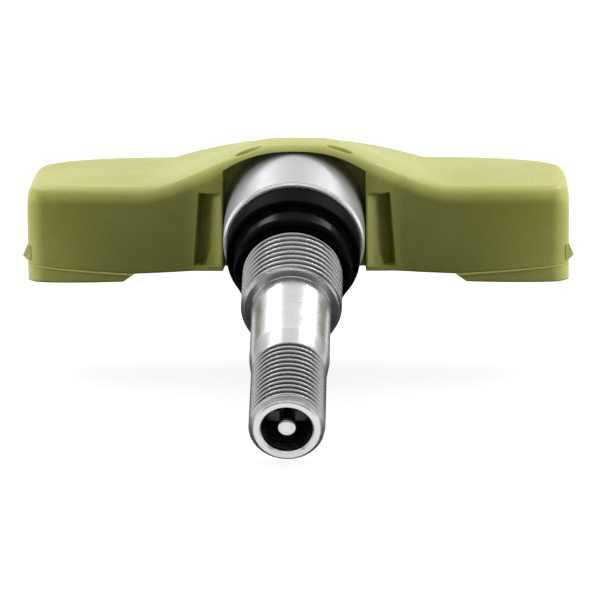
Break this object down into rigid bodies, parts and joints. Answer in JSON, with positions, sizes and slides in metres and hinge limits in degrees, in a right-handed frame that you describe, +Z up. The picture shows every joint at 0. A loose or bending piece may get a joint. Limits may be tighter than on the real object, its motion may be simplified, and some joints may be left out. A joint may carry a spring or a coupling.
{
  "type": "valve-mounted tyre pressure sensor",
  "caption": "Tyre pressure sensor: a gull-wing moulded housing on a turned clamp-in valve stem with collar, rubber grommet and a sprung valve core.",
  "frame": {"origin": "on the stem's axis, at the middle of the clamping thread", "axes": "+Z up with the housing level, +X along the wings, the stem points forward along -Y and dips 20 degrees below it"},
  "size_m": [0.059, 0.0581, 0.0257],
  "materials": {
    "housing_plastic": "fine moulded satin, olive green",
    "stem_aluminium": "turned, satin",
    "grommet_rubber": "moulded, slightly glossy",
    "core_brass": "turned, nickel washed",
    "core_nickel": "nickel plated",
    "core_seals": "moulded",
    "spring_steel": "drawn wire",
    "cell_steel": "nickel plated can",
    "tab_nickel": "rolled strip",
    "board_laminate": "solder resist",
    "chip_black": "moulded epoxy",
    "crystal_can": "stamped",
    "capacitor_ceramic": "fired",
    "ferrite": "pressed",
    "winding_copper": "enamelled copper wire",
    "antenna_brass": "stamped, tin washed",
    "membrane_white": "porous film"
  },
  "bodies": {
    "sensor": {"housing": "housing_plastic", "battery_cover": "housing_plastic", "electronics_cover": "housing_plastic", "valve_stem": "stem_aluminium", "grommet": "grommet_rubber", "core_barrel": "core_brass", "core_head": "core_brass", "core_gasket": "core_seals", "port_gasket": "core_seals", "core_spring": "spring_steel", "battery": "cell_steel", "battery_tab_positive": "tab_nickel", "battery_tab_negative": "tab_nickel", "circuit_board": "board_laminate", "pressure_sensor": "chip_black", "controller_chip": "chip_black", "crystal": "crystal_can", "chip_capacitors": "capacitor_ceramic", "coil_core": "ferrite", "coil_winding": "winding_copper", "loop_antenna": "antenna_brass", "port_membrane": "membrane_white"},
    "valve_pin": {"core_pin": "core_nickel", "core_cup": "core_brass", "core_cup_seal": "core_seals"}
  },
  "joints": [
    {"name": "valve_pin_slide", "type": "slide", "parent": "sensor", "child": "valve_pin", "axis": [0, 0.9397, 0.342], "range_m": [0, 0.0012], "stiffness_N_per_m": 1500, "springref_m": -0.0005, "deforming": ["core_spring"]}
  ]
}
